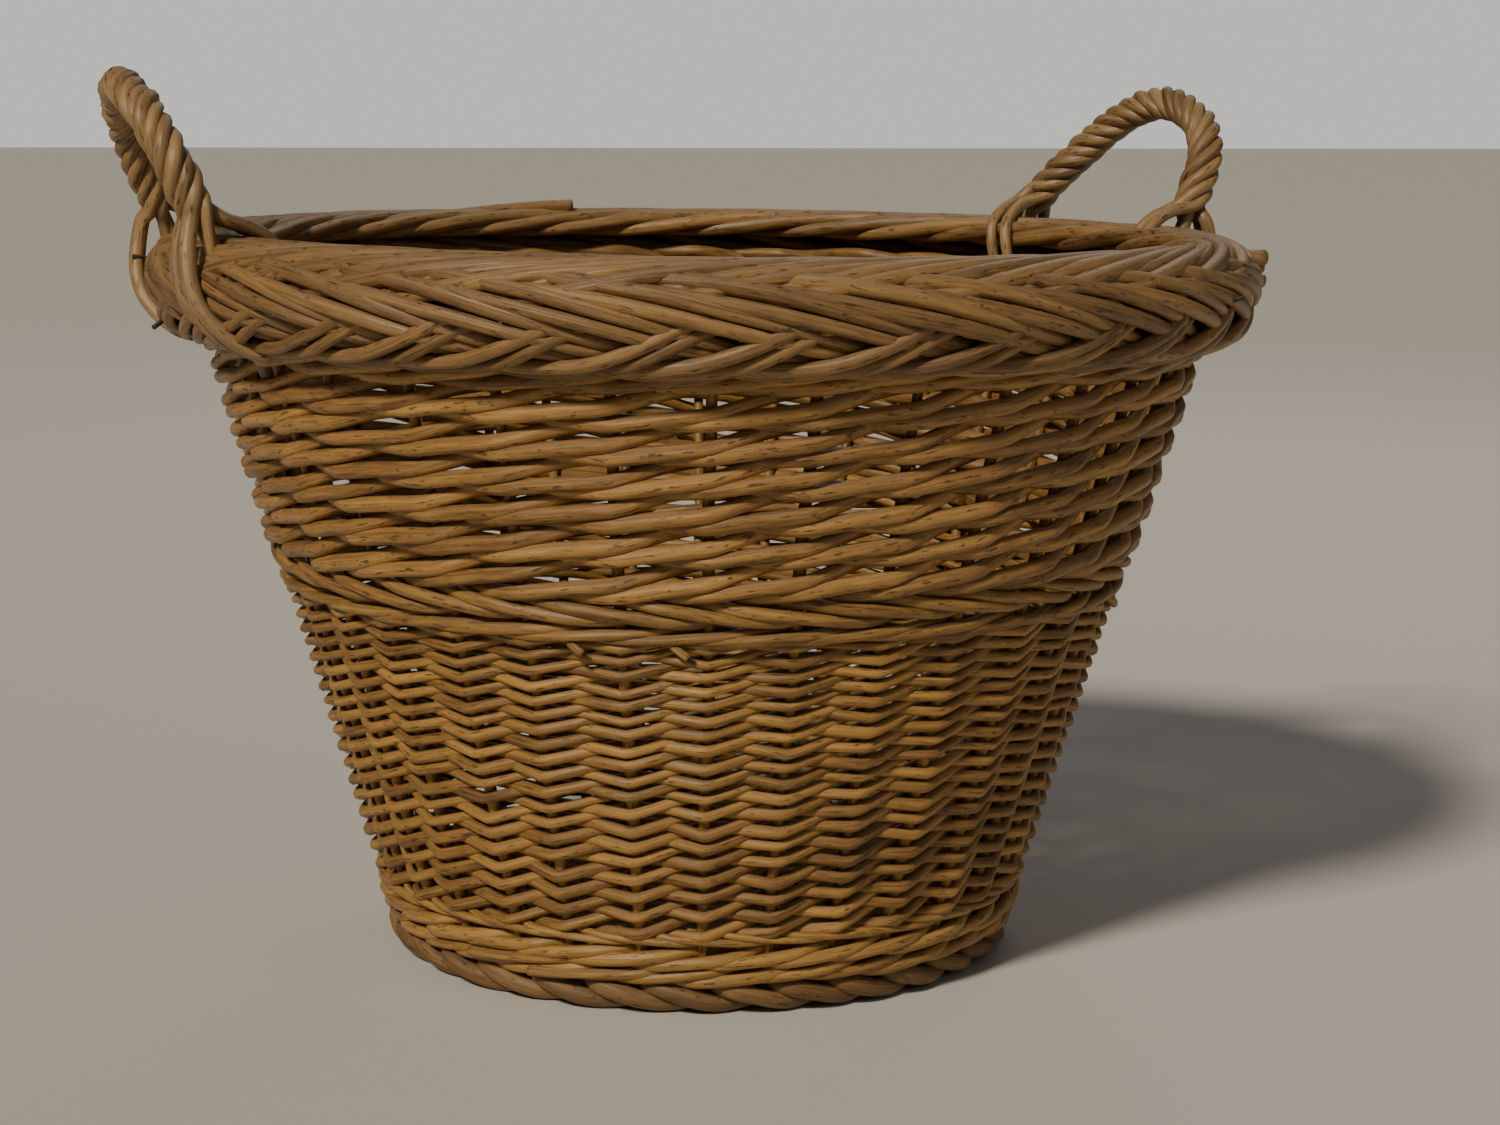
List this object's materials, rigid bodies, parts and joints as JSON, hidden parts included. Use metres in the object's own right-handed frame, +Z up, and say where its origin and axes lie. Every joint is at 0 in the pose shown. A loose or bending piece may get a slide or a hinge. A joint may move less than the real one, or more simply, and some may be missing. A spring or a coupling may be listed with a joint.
{
  "type": "woven wicker basket",
  "caption": "Round tapered woven willow basket with a plaited border, a waled foot and upright roped side handles.",
  "frame": {"origin": "on the floor, under the middle of the basket", "axes": "+Z up along the basket's axis; the handles stand at +X (right) and -X (left), both turned 8 degrees towards +Y"},
  "size_m": [0.527, 0.492, 0.3879],
  "materials": {
    "willow_foot": "satin bark-buff willow, darker and scuffed",
    "willow_base": "satin buff willow",
    "willow_stick": "satin buff willow, cleft at the crossing",
    "willow_stake": "satin buff willow",
    "willow_wale": "satin buff willow",
    "willow_lower": "satin buff willow, thin rods",
    "willow_upper": "satin buff willow, thick rods",
    "willow_border": "satin buff willow, greyed on top by handling",
    "willow_bow": "plain peeled willow rod",
    "willow_rope": "satin twisted willow, polished by handling"
  },
  "bodies": {
    "root": {"foot_border": "willow_foot", "base_weave": "willow_base", "upsett_wale": "willow_wale", "lower_siding": "willow_lower", "middle_wale": "willow_wale", "upper_siding": "willow_upper", "top_border": "willow_border", "stake_01": "willow_stake", "stake_02": "willow_stake", "stake_03": "willow_stake", "stake_04": "willow_stake", "stake_05": "willow_stake", "stake_06": "willow_stake", "stake_07": "willow_stake", "stake_08": "willow_stake", "stake_09": "willow_stake", "stake_10": "willow_stake", "stake_11": "willow_stake", "stake_12": "willow_stake", "stake_13": "willow_stake", "stake_14": "willow_stake", "stake_15": "willow_stake", "stake_16": "willow_stake", "stake_17": "willow_stake", "stake_18": "willow_stake", "stake_19": "willow_stake", "stake_20": "willow_stake", "stake_21": "willow_stake", "stake_22": "willow_stake", "stake_23": "willow_stake", "stake_24": "willow_stake", "stake_25": "willow_stake", "stake_26": "willow_stake", "stake_27": "willow_stake", "stake_28": "willow_stake", "stake_29": "willow_stake", "stake_30": "willow_stake", "stake_31": "willow_stake", "stake_32": "willow_stake", "base_stick_through_1": "willow_stick", "base_stick_pierced_1": "willow_stick", "base_stick_through_2": "willow_stick", "base_stick_pierced_2": "willow_stick", "base_stick_through_3": "willow_stick", "base_stick_pierced_3": "willow_stick", "base_stick_through_4": "willow_stick", "base_stick_pierced_4": "willow_stick", "handle_right_bow": "willow_bow", "handle_right_rope": "willow_rope", "handle_right_tail_a": "willow_rope", "handle_right_tail_b": "willow_rope", "handle_left_bow": "willow_bow", "handle_left_rope": "willow_rope", "handle_left_tail_a": "willow_rope", "handle_left_tail_b": "willow_rope"}
  },
  "joints": []
}
